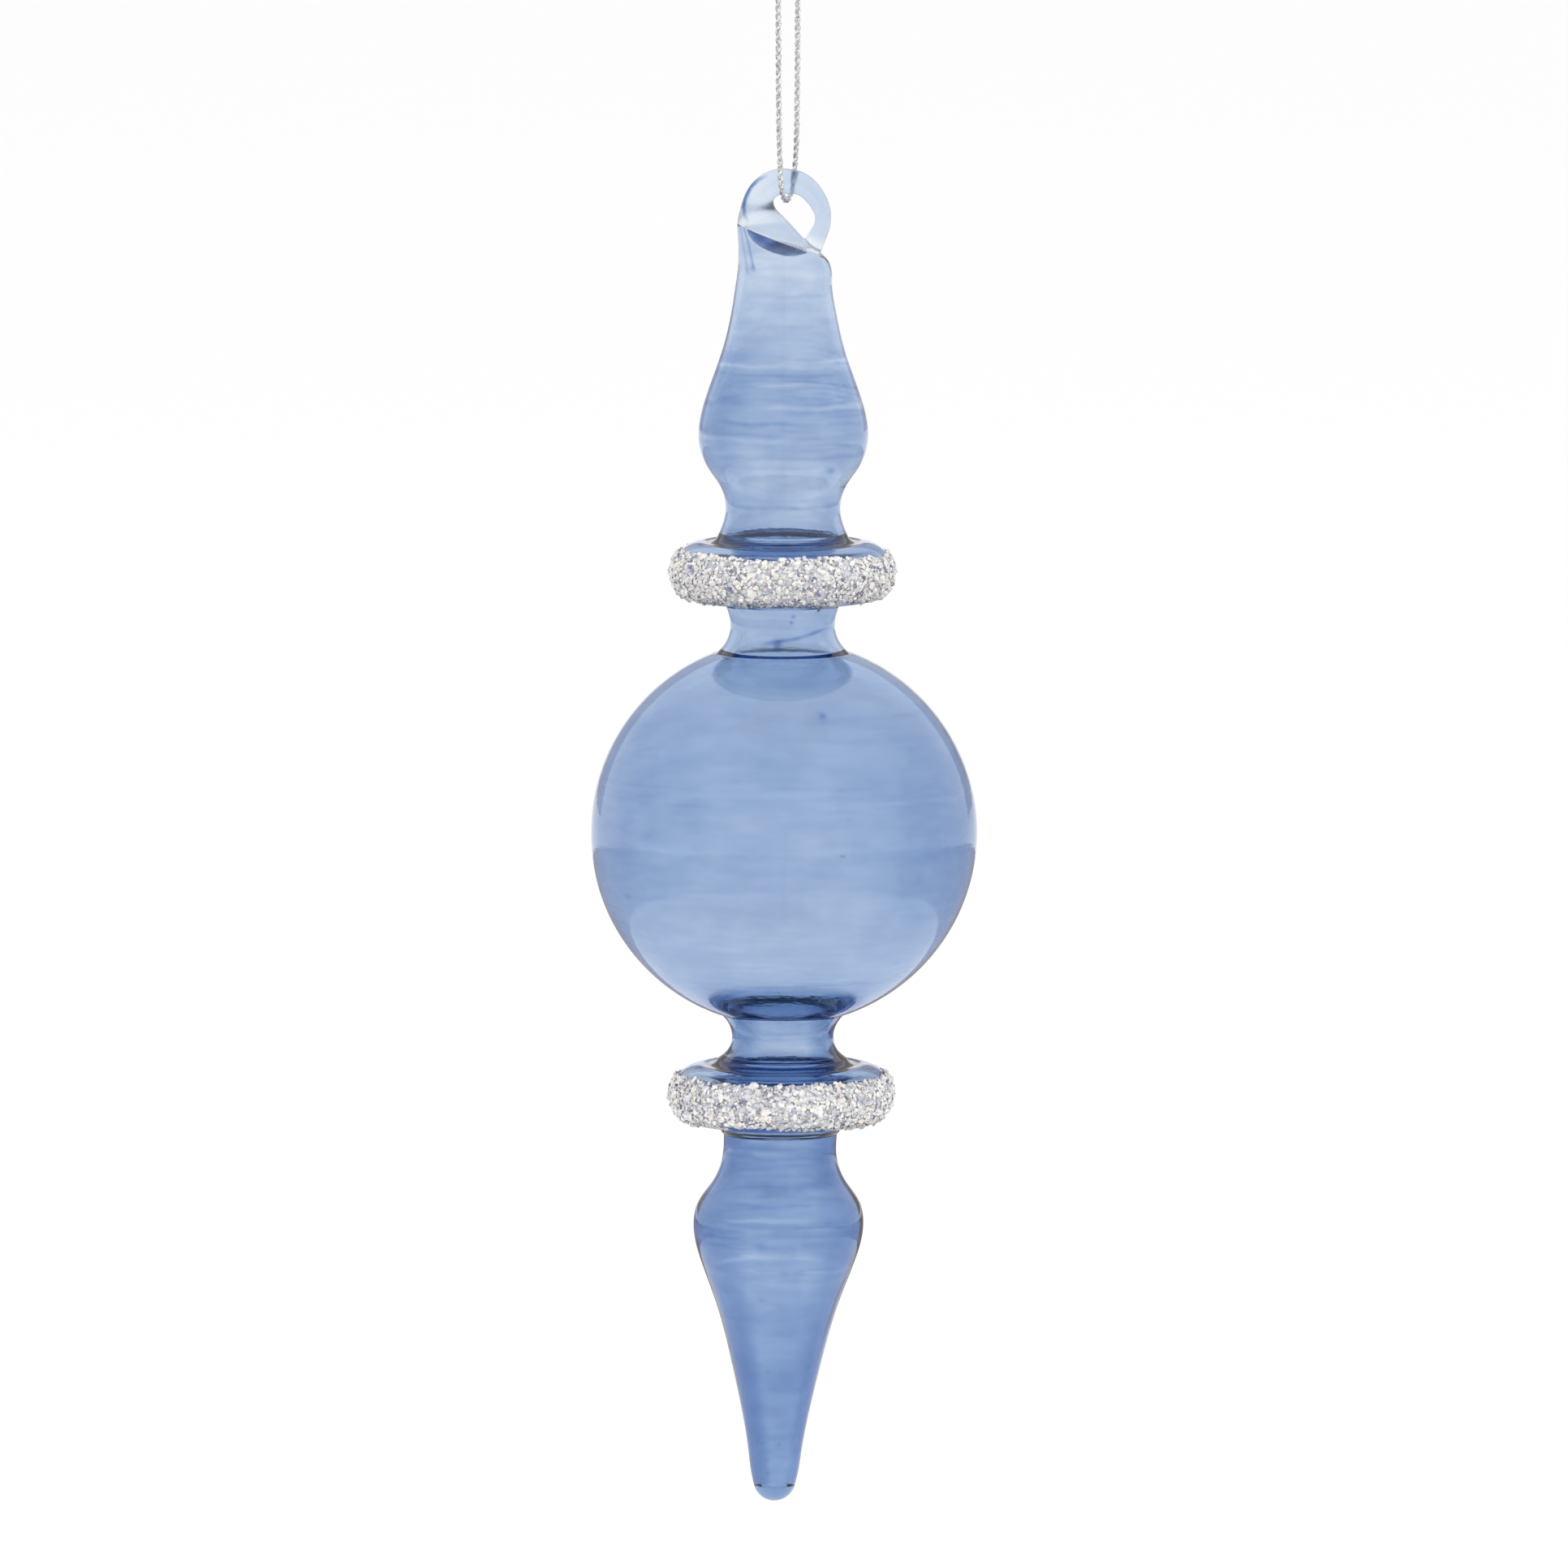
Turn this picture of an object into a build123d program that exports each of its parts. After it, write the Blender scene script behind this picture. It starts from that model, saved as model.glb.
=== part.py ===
"""Icicle hanging ornament: a hollow blown-glass finial on a silver cord. Millimetres, +Z up.

The origin is the hanging point, where the cord loop rests on its hook, right under the knot.
The glass is worked out from its depth under the top of the eye.
"""

import os
from math import asin, cos, pi, radians, sin, tan

from build123d import *

os.makedirs("parts", exist_ok=True)

# Driving dimensions
loop_drop = 56.0  # from the hanging point down to the top of the glass eye
glass_x = -0.6  # the glass axis, beside the cord's own axis at X = 0
wall = 1.1  # blown glass wall
drop_lean = 0.9  # degrees that the icicle drop leans off the glass axis

# Depths under the top of the eye
closure_seam = 14.2
upper_disc_top = 54.9
upper_disc_bottom = 65.4
globe_top = 72.6
globe_bottom = 126.7
lower_disc_top = 133.6
lower_disc_bottom = 145.0
bead_seam = 198.2
glass_length = 200.6

# Radii
closure_r = 6.85
disc_foot_r = 9.7
neck_end_r = 8.5
globe_r = 28.9
globe_top_r = 9.9
globe_bottom_r = 9.4
globe_top_bore = 7.2
globe_bottom_bore = 6.6
bead_r = 3.1

# The round rim of a disc
rim_centre_r = 12.0
rim_r = 4.5
foot_fillet = 0.8
rim_depth_upper = 60.3
rim_depth_lower = 138.9
glue = 0.1
glitter = 0.4
band_top_angle = 42.0  # above the widest line of the rim
band_bottom_angle = 58.0  # below it

# Cord
cord_d = 0.9
eye_bar_r = 1.9  # of the eye's rod, where the cord hangs it
cord_clearance = 0.5
knot_r = 1.75
knot_bottom = 1.6
knot_height = 3.6
knot_neck = 0.62  # the radius of the knot's ends, as a share of its middle
knot_gap = 0.15  # the strands turn under the knot, so they stop just short of it


def level(depth):
    """Height in the part's frame of a depth under the top of the eye."""
    return -loop_drop - depth


def at(radius, depth):
    """A profile point in a plane whose first axis points away from the glass axis."""
    return (radius, level(depth))


glass_plane = Plane(origin=(glass_x, 0, 0), x_dir=(1, 0, 0), z_dir=(0, -1, 0))
glass_axis = Axis((glass_x, 0, 0), (0, 0, 1))


def hollow_profile(outer, inner):
    """A turned wall's half section: outer and inner are lists of (radius, depth), top to bottom."""
    Spline(*[at(*p) for p in outer])
    Spline(*[at(*p) for p in inner])
    Line(at(*outer[0]), at(*inner[0]))
    Line(at(*outer[-1]), at(*inner[-1]))


def narrowed(points):
    """The bore that leaves the wall's thickness inside an outline."""
    return [(radius - wall, depth) for radius, depth in points]


# The tube's closed top slants from its left shoulder down to the right. Each section is level: its
# centre from the cord's axis, its depth, and its half widths along X and Y.
closure_sections = [
    (glass_x, closure_seam, closure_r, closure_r),
    (-0.95, 13.2, 6.5, 6.8),
    (-1.72, 12.0, 5.72, 6.5),
    (-2.6, 10.4, 4.9, 5.9),
    (-3.68, 8.1, 3.88, 4.7),
    (-4.5, 5.9, 2.6, 2.9),
]
# The solid eye is fused to the tube on a slanting seam, from the left side to the right side
seam_left = (-7.5, 8.2)
seam_right = (5.6, 13.2)
slant_run = seam_right[0] - seam_left[0]
slant_fall = seam_right[1] - seam_left[1]


def on_slant(x):
    """The point of the slanting seam's plane that is over X, in the plane Y = 0."""
    return Vector(x, 0, level(seam_left[1] + slant_fall * (x - seam_left[0]) / slant_run))


def slant_plane(x):
    return Plane(origin=on_slant(x), x_dir=(slant_run, 0, -slant_fall), z_dir=(slant_fall, 0, slant_run))


def level_section(x, depth, half_x, half_y):
    """An oval section of the closed top, with its start on +Y."""
    with BuildSketch(Plane(origin=(x, 0, level(depth)), x_dir=(0, 1, 0), z_dir=(0, 0, 1))) as section:
        if half_x == half_y:
            Circle(half_x)
        else:
            Ellipse(half_y, half_x)
    return section.sketch


# Upper drop: a teardrop bulb between the slanting seam and the upper disc
upper_drop_outline = [
    (closure_r, closure_seam),
    (7.2, 17.2),
    (7.65, 20.4),
    (9.2, 27.2),
    (11.6, 34.1),
    (12.65, 40.6),
    (11.5, 44.4),
    (9.25, 47.9),
    (8.6, 51.2),
    (disc_foot_r, upper_disc_top),
]
with BuildPart() as upper_drop:
    with BuildSketch(glass_plane):
        with BuildLine():
            hollow_profile(upper_drop_outline, narrowed(upper_drop_outline))
        make_face()
    revolve(axis=glass_axis)
    loft(sections=[level_section(*section) for section in closure_sections])
    split(bisect_by=slant_plane(glass_x), keep=Keep.BOTTOM)
    loft(
        sections=[
            level_section(x, depth, half_x - wall, half_y - wall)
            for x, depth, half_x, half_y in closure_sections
        ],
        mode=Mode.SUBTRACT,
    )
upper_drop.part.label = "upper_drop"
export_step(upper_drop.part, "parts/upper_drop.step")


def disc_profile(rim_depth, top, bottom):
    """Half section of a hollow disc: a round rim with a short foot above and below."""
    for side, end_r, end_depth in ((-1, disc_foot_r, top), (1, neck_end_r, bottom)):
        rim_depth_here = rim_depth + side * rim_r
        bore_depth_here = rim_depth + side * (rim_r - wall)
        Line(at(rim_centre_r, rim_depth_here), at(end_r + foot_fillet, rim_depth_here))
        Spline(
            at(end_r + foot_fillet, rim_depth_here),
            at(end_r, end_depth),
            tangents=((-1, 0), (-0.5, -side)),
        )
        Line(at(end_r, end_depth), at(end_r - wall, end_depth))
        Line(at(end_r - wall, end_depth), at(end_r - wall, bore_depth_here))
        Line(at(end_r - wall, bore_depth_here), at(rim_centre_r, bore_depth_here))
    ThreePointArc(
        at(rim_centre_r, rim_depth - rim_r),
        at(rim_centre_r + rim_r, rim_depth),
        at(rim_centre_r, rim_depth + rim_r),
    )
    ThreePointArc(
        at(rim_centre_r, rim_depth - rim_r + wall),
        at(rim_centre_r + rim_r - wall, rim_depth),
        at(rim_centre_r, rim_depth + rim_r - wall),
    )


with BuildPart() as upper_disc:
    with BuildSketch(glass_plane):
        with BuildLine():
            disc_profile(rim_depth_upper, upper_disc_top, upper_disc_bottom)
        make_face()
    revolve(axis=glass_axis)
upper_disc.part.label = "upper_disc"
export_step(upper_disc.part, "parts/upper_disc.step")

with BuildPart() as lower_disc:
    with BuildSketch(glass_plane):
        with BuildLine():
            disc_profile(rim_depth_lower, lower_disc_top, lower_disc_bottom)
        make_face()
    revolve(axis=glass_axis)
lower_disc.part.label = "lower_disc"
export_step(lower_disc.part, "parts/lower_disc.step")

# Upper neck: flares into the globe's shoulder
upper_neck_outline = [
    (neck_end_r, upper_disc_bottom),
    (7.8, 68.4),
    (8.5, 70.9),
    (globe_top_r, globe_top),
]
upper_neck_bore = narrowed(upper_neck_outline[:-1]) + [(globe_top_bore, globe_top)]
with BuildPart() as upper_neck:
    with BuildSketch(glass_plane):
        with BuildLine():
            hollow_profile(upper_neck_outline, upper_neck_bore)
        make_face()
    revolve(axis=glass_axis)
upper_neck.part.label = "upper_neck"
export_step(upper_neck.part, "parts/upper_neck.step")

# Globe
globe_middle = 99.6
with BuildPart() as globe:
    with BuildSketch(glass_plane):
        with BuildLine():
            ThreePointArc(
                at(globe_top_r, globe_top),
                at(globe_r, globe_middle),
                at(globe_bottom_r, globe_bottom),
            )
            ThreePointArc(
                at(globe_top_bore, globe_top),
                at(globe_r - wall, globe_middle),
                at(globe_bottom_bore, globe_bottom),
            )
            Line(at(globe_top_r, globe_top), at(globe_top_bore, globe_top))
            Line(at(globe_bottom_r, globe_bottom), at(globe_bottom_bore, globe_bottom))
        make_face()
    revolve(axis=glass_axis)
globe.part.label = "globe"
export_step(globe.part, "parts/globe.step")

# Lower neck: a short waist under the globe
lower_neck_outline = [
    (globe_bottom_r, globe_bottom),
    (8.1, 128.4),
    (7.6, 130.6),
    (8.3, 132.4),
    (disc_foot_r, lower_disc_top),
]
lower_neck_bore = [(globe_bottom_bore, globe_bottom)] + narrowed(lower_neck_outline[1:])
with BuildPart() as lower_neck:
    with BuildSketch(glass_plane):
        with BuildLine():
            hollow_profile(lower_neck_outline, lower_neck_bore)
        make_face()
    revolve(axis=glass_axis)
lower_neck.part.label = "lower_neck"
export_step(lower_neck.part, "parts/lower_neck.step")

# Icicle drop: a shoulder, then a long drawn taper, leaning a little off the glass axis
drop_outline = [
    (neck_end_r, lower_disc_bottom),
    (8.6, 148.6),
    (9.95, 152.1),
    (12.1, 155.3),
    (12.75, 159.0),
    (11.6, 164.1),
    (9.1, 170.9),
    (6.75, 179.5),
    (5.2, 186.4),
    (4.0, 193.2),
    (3.55, 196.3),
    (bead_r, bead_seam),
]
lean_up = (sin(radians(drop_lean)), 0, cos(radians(drop_lean)))
lean_out = (cos(radians(drop_lean)), 0, -sin(radians(drop_lean)))
seam_centre = Vector(glass_x, 0, level(lower_disc_bottom))
lean_axis = Axis(seam_centre, lean_up)
# Its first axis is square to the leaning axis, and its origin is at the height of the hanging point.
lean_plane = Plane(
    origin=seam_centre - Vector(*lean_up) * level(lower_disc_bottom), x_dir=lean_out, z_dir=(0, -1, 0)
)
spare = 0.4  # the drop is made this much too long at the top, then cut level with the seam
with BuildPart() as icicle_drop:
    with BuildSketch(lean_plane):
        with BuildLine():
            outline = [(neck_end_r, lower_disc_bottom - spare)] + drop_outline[1:]
            hollow_profile(outline, narrowed(outline))
        make_face()
    revolve(axis=lean_axis)
    split(bisect_by=Plane(origin=seam_centre), keep=Keep.BOTTOM)
icicle_drop.part.label = "icicle_drop"
export_step(icicle_drop.part, "parts/icicle_drop.step")

# Tip bead: the solid glass seal under the drop's bore
bead_height = glass_length - bead_seam
bead_ball_r = (bead_r**2 + bead_height**2) / (2 * bead_height)
bead_half_turn = asin(bead_r / bead_ball_r) / 2
with BuildPart() as tip_bead:
    with BuildSketch(lean_plane):
        with BuildLine():
            Line(at(0, bead_seam), at(bead_r, bead_seam))
            ThreePointArc(
                at(bead_r, bead_seam),
                at(
                    bead_ball_r * sin(bead_half_turn),
                    glass_length - bead_ball_r * (1 - cos(bead_half_turn)),
                ),
                at(0, glass_length),
            )
            Line(at(0, glass_length), at(0, bead_seam))
        make_face()
    revolve(axis=lean_axis)
tip_bead.part.label = "tip_bead"
export_step(tip_bead.part, "parts/tip_bead.step")


def rim_band(rim_depth, inner_r, outer_r):
    """Half section of a coat on the outside of a disc's rim, between two radii about its centre."""

    def around(r, angle):
        return at(rim_centre_r + r * cos(radians(angle)), rim_depth - r * sin(radians(angle)))

    for r in (inner_r, outer_r):
        ThreePointArc(around(r, band_top_angle), around(r, 0), around(r, -band_bottom_angle))
    for angle in (band_top_angle, -band_bottom_angle):
        Line(around(inner_r, angle), around(outer_r, angle))


# Glue and glitter on both rims
for disc_name, rim_depth in (("upper", rim_depth_upper), ("lower", rim_depth_lower)):
    with BuildPart() as glue_band:
        with BuildSketch(glass_plane):
            with BuildLine():
                rim_band(rim_depth, rim_r, rim_r + glue)
            make_face()
        revolve(axis=glass_axis)
    glue_band.part.label = f"{disc_name}_glue_band"
    export_step(glue_band.part, f"parts/{disc_name}_glue_band.step")

    with BuildPart() as glitter_band:
        with BuildSketch(glass_plane):
            with BuildLine():
                rim_band(rim_depth, rim_r + glue, rim_r + glue + glitter)
            make_face()
        revolve(axis=glass_axis)
    glitter_band.part.label = f"{disc_name}_glitter_band"
    export_step(glitter_band.part, f"parts/{disc_name}_glitter_band.step")

# Hanger ring: solid glass drawn up from the left shoulder and curled over to the right one.
# Each section of its rod is its centre from the cord's axis, its depth, its radius and its
# heading, in degrees from straight up towards +X.
rod_top = (-0.45, 1.9, eye_bar_r, 90)
rise_sections = [(-4.4, 4.9, 2.3, 10), (-3.3, 2.95, 1.98, 48), rod_top]
curl_sections = [
    rod_top,
    (1.55, 2.15, 1.75, 106),
    (3.95, 4.1, 1.5, 137),
    (5.1, 6.4, 1.27, 164),
    (5.2, 8.0, 1.22, 182),
    (4.45, 10.0, 1.35, 208),
    (3.6, 11.7, 1.4, 208),
]
# Under the seam the solid glass bulges down into the tube, as half of a flat ball
plug_x = -1.45
plug_half_length = 5.1
plug_half_width = 4.0
plug_sag = 2.4


def rod_section(x, depth, radius, heading):
    direction = (sin(radians(heading)), 0, cos(radians(heading)))
    with BuildSketch(Plane(origin=(x, 0, level(depth)), x_dir=(0, 1, 0), z_dir=direction)) as section:
        Circle(radius)
    return section.sketch


with BuildPart() as hanger_ring:
    closure_part = [level_section(*section) for section in closure_sections]
    loft(sections=closure_part + [rod_section(*section) for section in rise_sections])
    loft(sections=[rod_section(*section) for section in curl_sections])
    split(bisect_by=slant_plane(plug_x), keep=Keep.TOP)
    with BuildPart(mode=Mode.PRIVATE) as plug:
        Sphere(1)
        scale(by=(plug_half_length, plug_half_width, plug_sag))
        split(bisect_by=Plane.XY, keep=Keep.BOTTOM)
    add(plug.part.located(slant_plane(plug_x).location))
hanger_ring.part.label = "hanger_ring"
export_step(hanger_ring.part, "parts/hanger_ring.step")

# Cord: down in front of the eye's bar, under it, and up behind it
bar_x = -0.2
bar_level = level(eye_bar_r)
bight_r = eye_bar_r + cord_d / 2 + cord_clearance
bight_step = 45.0  # degrees from one corner of the bight to the next
corner_r = bight_r / cos(radians(bight_step / 2))


def round_bar(x, step):
    """A corner of the cord's way round the eye's bar, some steps past straight out at the front."""
    angle = 180 + step * bight_step
    return (
        bar_x + x,
        corner_r * cos(radians(angle)),
        bar_level + corner_r * sin(radians(angle)),
    )


front_strand = [
    (-0.5, 0.0, knot_bottom - knot_gap),
    (-1.3, -0.1, -2.6),
    (-1.43, -0.4, -10.6),
    (-1.47, -1.1, -26.0),
    (-1.42, -1.85, -41.0),
    (-1.33, -2.35, -50.0),
    (-1.2, -2.62, -54.6),
]
back_strand = [(-x, -y, z) for x, y, z in reversed(front_strand)]
bight = [
    round_bar(-0.8, 0.5),
    round_bar(-0.35, 1.5),
    round_bar(0.35, 2.5),
    round_bar(0.8, 3.5),
]
cord_route = [Vector(*p) for p in front_strand + bight + back_strand]


def bend_radii(route):
    """The arc at each corner: 0.45 of its shorter run over the tangent of half its turn."""
    radii = []
    for before, corner, after in zip(route, route[1:], route[2:]):
        turn = radians((corner - before).get_angle(after - corner))
        run = min((corner - before).length, (after - corner).length)
        radii.append(0.45 * run / tan(turn / 2))
    return radii


cord_bends = bend_radii(cord_route)
with BuildPart() as hanging_cord:
    with BuildLine() as cord_line:
        FilletPolyline(*cord_route, radius=cord_bends)
    with BuildSketch(cord_line.line ^ 0):
        Circle(cord_d / 2)
    sweep(path=cord_line.line)
hanging_cord.part.label = "hanging_cord"
export_step(hanging_cord.part, "parts/hanging_cord.step")
print("cord bend radii", [round(r, 1) for r in cord_bends])
cord_length = sum(edge.length for edge in cord_line.edges())
swept_length = hanging_cord.part.volume / (pi * cord_d**2 / 4)
print("cord length", round(cord_length, 1), "and from its volume", round(swept_length, 1))

# Knot: both strands enter it below, and both cut ends leave it above
with BuildPart() as cord_knot:
    with BuildSketch(Plane.XZ):
        with BuildLine():
            Line((0, knot_bottom), (knot_r * knot_neck, knot_bottom))
            ThreePointArc(
                (knot_r * knot_neck, knot_bottom),
                (knot_r, knot_bottom + knot_height / 2),
                (knot_r * knot_neck, knot_bottom + knot_height),
            )
            Line((knot_r * knot_neck, knot_bottom + knot_height), (0, knot_bottom + knot_height))
            Line((0, knot_bottom + knot_height), (0, knot_bottom))
        make_face()
    revolve(axis=Axis.Z)
cord_knot.part.label = "cord_knot"
export_step(cord_knot.part, "parts/cord_knot.step")

# Cut ends: each leans out a little further as it rises
knot_top = knot_bottom + knot_height
tail_routes = {
    "cord_tail_long": [(-0.5, 0.0, 0.0), (-0.7, 0.1, 3.2), (-1.5, 0.2, 6.4), (-2.9, 0.1, 9.2)],
    "cord_tail_short": [(0.55, 0.0, 0.0), (0.9, -0.2, 2.6), (2.0, -0.5, 4.9), (3.5, -0.6, 6.6)],
}
for tail_name, points in tail_routes.items():
    tail_route = [Vector(x, y, knot_top + z) for x, y, z in points]
    with BuildPart() as cord_tail:
        with BuildLine() as tail_line:
            FilletPolyline(*tail_route, radius=bend_radii(tail_route))
        with BuildSketch(tail_line.line ^ 0):
            Circle(cord_d / 2)
        sweep(path=tail_line.line)
    cord_tail.part.label = tail_name
    export_step(cord_tail.part, f"parts/{tail_name}.step")
    print(tail_name, "bend radii", [round(r, 1) for r in bend_radii(tail_route)])
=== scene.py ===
"""Icicle hanging ornament: blown blue glass, glitter rims and a silver cord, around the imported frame."""

from math import atan2, cos, degrees, pi, radians, sin, sqrt, tan

import bmesh
import bpy
import numpy as np
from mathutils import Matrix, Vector


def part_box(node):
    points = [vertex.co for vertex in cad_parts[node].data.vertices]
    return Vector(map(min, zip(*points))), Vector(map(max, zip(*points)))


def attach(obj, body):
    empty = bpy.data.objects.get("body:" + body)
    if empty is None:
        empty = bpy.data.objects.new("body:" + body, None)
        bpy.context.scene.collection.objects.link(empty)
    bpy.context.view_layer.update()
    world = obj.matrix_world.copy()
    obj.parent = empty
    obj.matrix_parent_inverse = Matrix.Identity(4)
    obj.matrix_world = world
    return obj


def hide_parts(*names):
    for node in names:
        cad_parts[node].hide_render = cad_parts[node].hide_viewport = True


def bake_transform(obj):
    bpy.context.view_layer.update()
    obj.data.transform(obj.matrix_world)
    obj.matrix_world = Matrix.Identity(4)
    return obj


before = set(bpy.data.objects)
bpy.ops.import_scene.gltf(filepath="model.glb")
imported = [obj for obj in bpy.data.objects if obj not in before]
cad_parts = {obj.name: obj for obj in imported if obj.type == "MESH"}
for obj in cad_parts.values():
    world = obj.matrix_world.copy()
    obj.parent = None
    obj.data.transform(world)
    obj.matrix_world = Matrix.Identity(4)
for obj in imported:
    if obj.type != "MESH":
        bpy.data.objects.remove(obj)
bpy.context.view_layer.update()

MM = 0.001

# ---------------------------------------------------------------- places, from the frame

globe_low, globe_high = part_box("globe")
GLASS_X = (globe_low[0] + globe_high[0]) / 2
EYE_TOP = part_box("hanger_ring")[1][2]  # every depth below is in mm under it
LEAN = radians(0.9)  # of the icicle drop, from the seam under the lower disc
LEAN_FROM = 145.0


def level(depth):
    """Height in the frame, in metres, of a depth in mm under the top of the eye."""
    return EYE_TOP - depth * MM


def depth_of(z):
    return (EYE_TOP - z) / MM


# ---------------------------------------------------------------- node helpers


def material(name):
    """A new node material, its node tree and its Principled shader."""
    mat = bpy.data.materials.new(name)
    mat.use_nodes = True
    nt = mat.node_tree
    return mat, nt, nt.nodes["Principled BSDF"]


def node(nt, kind, inputs=None, **settings):
    """A node with its settings, and with inputs that are plain values or sockets to link."""
    made = nt.nodes.new(kind)
    for key, value in settings.items():
        setattr(made, key, value)
    for key, value in (inputs or {}).items():
        if isinstance(value, bpy.types.NodeSocket):
            nt.links.new(value, made.inputs[key])
        else:
            made.inputs[key].default_value = value
    return made


def ramp(nt, factor, stops):
    """A colour ramp over a factor; stops are (position, colour)."""
    made = node(nt, "ShaderNodeValToRGB", {"Fac": factor})
    elements = made.color_ramp.elements
    while len(elements) < len(stops):
        elements.new(0.5)
    for element, (position, colour) in zip(elements, stops):
        element.position = position
        element.color = (*colour, 1)
    return made.outputs["Color"]


# ---------------------------------------------------------------- camera, floor and light

VIEW_WIDTH = 0.2347  # what the frame is across at the ornament
VIEW_DISTANCE = 2.6
VIEW_ELEVATION = radians(6.0)
VIEW_DEPTH = 92.3  # the middle of the frame, in mm under the top of the eye
SENSOR = 36.0


def place_camera():
    camera = bpy.data.cameras.new("camera")
    camera.sensor_width = SENSOR
    camera.lens = SENSOR * VIEW_DISTANCE / VIEW_WIDTH
    camera.clip_end = 100
    holder = bpy.data.objects.new("camera", camera)
    bpy.context.collection.objects.link(holder)
    target = Vector((GLASS_X, 0, level(VIEW_DEPTH)))
    away = Vector((0, -cos(VIEW_ELEVATION), sin(VIEW_ELEVATION)))
    holder.location = target + VIEW_DISTANCE * away
    holder.rotation_euler = away.to_track_quat("Z", "Y").to_euler()
    bpy.context.scene.camera = holder


FLOOR_LEVEL = level(225.0)
FLOOR_REACH = 14.0


def lay_floor():
    mesh = bpy.data.meshes.new("floor")
    reach = FLOOR_REACH
    corners = [(-reach, -reach, FLOOR_LEVEL), (reach, -reach, FLOOR_LEVEL)]
    corners += [(reach, reach, FLOOR_LEVEL), (-reach, reach, FLOOR_LEVEL)]
    mesh.from_pydata(corners, [], [(0, 1, 2, 3)])
    floor = bpy.data.objects.new("floor", mesh)
    bpy.context.collection.objects.link(floor)
    mat, nt, shader = material("floor_white")
    shader.inputs["Base Color"].default_value = (0.93, 0.93, 0.93, 1)
    shader.inputs["Roughness"].default_value = 0.9
    shader.inputs["Specular IOR Level"].default_value = 0.1
    mesh.materials.append(mat)


def card_ring(name, place, inner, outer, shade, facing=None):
    """A ring of card that only the glass mirrors; it lies flat, or faces along a direction."""
    steps = 64
    points = []
    for reach in (inner, outer):
        points += [(reach * cos(t), reach * sin(t), 0) for t in np.linspace(0, 2 * pi, steps, endpoint=False)]
    faces = [(k, (k + 1) % steps, steps + (k + 1) % steps, steps + k) for k in range(steps)]
    mesh = bpy.data.meshes.new(name)
    mesh.from_pydata(points, [], faces)
    holder = bpy.data.objects.new(name, mesh)
    bpy.context.collection.objects.link(holder)
    holder.location = place
    if facing:
        holder.rotation_euler = facing.to_track_quat("Z", "Y").to_euler()
    mat, nt, shader = material(name)
    nt.nodes.remove(shader)
    glow = node(nt, "ShaderNodeEmission", {"Color": (*shade, 1), "Strength": 1.0})
    nt.links.new(glow.outputs[0], nt.nodes["Material Output"].inputs["Surface"])
    mesh.materials.append(mat)
    for kind in ("camera", "diffuse", "shadow", "volume_scatter", "transmission"):
        setattr(holder, f"visible_{kind}", False)


def light_studio():
    world = bpy.data.worlds.new("studio")
    world.use_nodes = True
    world.node_tree.nodes["Background"].inputs["Color"].default_value = (1, 1, 1, 1)
    world.node_tree.nodes["Background"].inputs["Strength"].default_value = 1.06
    scene = bpy.context.scene
    scene.world = world
    scene.view_settings.view_transform = "Standard"
    scene.view_settings.look = "None"
    scene.cycles.max_bounces = 24
    scene.cycles.transmission_bounces = 24
    scene.cycles.glossy_bounces = 24
    scene.cycles.sample_clamp_indirect = 6.0
    middle = Vector((GLASS_X, 0, level(100.0)))
    for name, place, power, size in (
        ("key_softbox", (0.9, -0.9, 0.9), 6.0, 0.5),
        ("fill_softbox", (-1.2, -0.6, 0.2), 3.0, 0.8),
    ):
        light = bpy.data.lights.new(name, "AREA")
        light.energy, light.size = power, size
        holder = bpy.data.objects.new(name, light)
        bpy.context.collection.objects.link(holder)
        holder.location = middle + Vector(place)
        holder.rotation_euler = (Vector(place)).to_track_quat("Z", "Y").to_euler()
        holder.visible_glossy = holder.visible_transmission = False
    # The white backdrop ends some way out; what is round it is beige, and the edges of the glass mirror it
    forwards = Vector((0, cos(VIEW_ELEVATION), -sin(VIEW_ELEVATION)))
    near, far = (3.0 * tan(radians(angle)) for angle in (15, 36))
    card_ring("backdrop_edge", middle + 3.0 * forwards, near, far, (0.50, 0.45, 0.42), forwards)
    card_ring("table_edge", Vector((0, 0, FLOOR_LEVEL + 0.002)), 0.24, 0.95, (0.42, 0.36, 0.33))


place_camera()
lay_floor()
light_studio()

# ---------------------------------------------------------------- curves and meshes


def smooth_line(points, steps):
    """Points along the natural cubic through the given points, evenly spaced by length."""
    points = np.array(points, float)
    knots = np.concatenate([[0], np.cumsum(np.linalg.norm(np.diff(points, axis=0), axis=1))])
    gaps = np.diff(knots)
    count = len(points)
    system, right = np.eye(count), np.zeros_like(points)
    for i in range(1, count - 1):
        system[i, i - 1], system[i, i], system[i, i + 1] = gaps[i - 1], 2 * (gaps[i - 1] + gaps[i]), gaps[i]
        slopes = np.diff(points[i - 1 : i + 2], axis=0) / gaps[i - 1 : i + 1, None]
        right[i] = 6 * (slopes[1] - slopes[0])
    bend = np.linalg.solve(system, right)

    def curve(t):
        i = np.clip(np.searchsorted(knots, t, side="right") - 1, 0, count - 2)
        a, b, gap = (knots[i + 1] - t)[:, None], (t - knots[i])[:, None], gaps[i][:, None]
        return (
            bend[i] * a**3 / (6 * gap)
            + bend[i + 1] * b**3 / (6 * gap)
            + (points[i] / gap - bend[i] * gap / 6) * a
            + (points[i + 1] / gap - bend[i + 1] * gap / 6) * b
        )

    dense = curve(np.linspace(0, knots[-1], 40 * count))
    return even(dense, steps)


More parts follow.
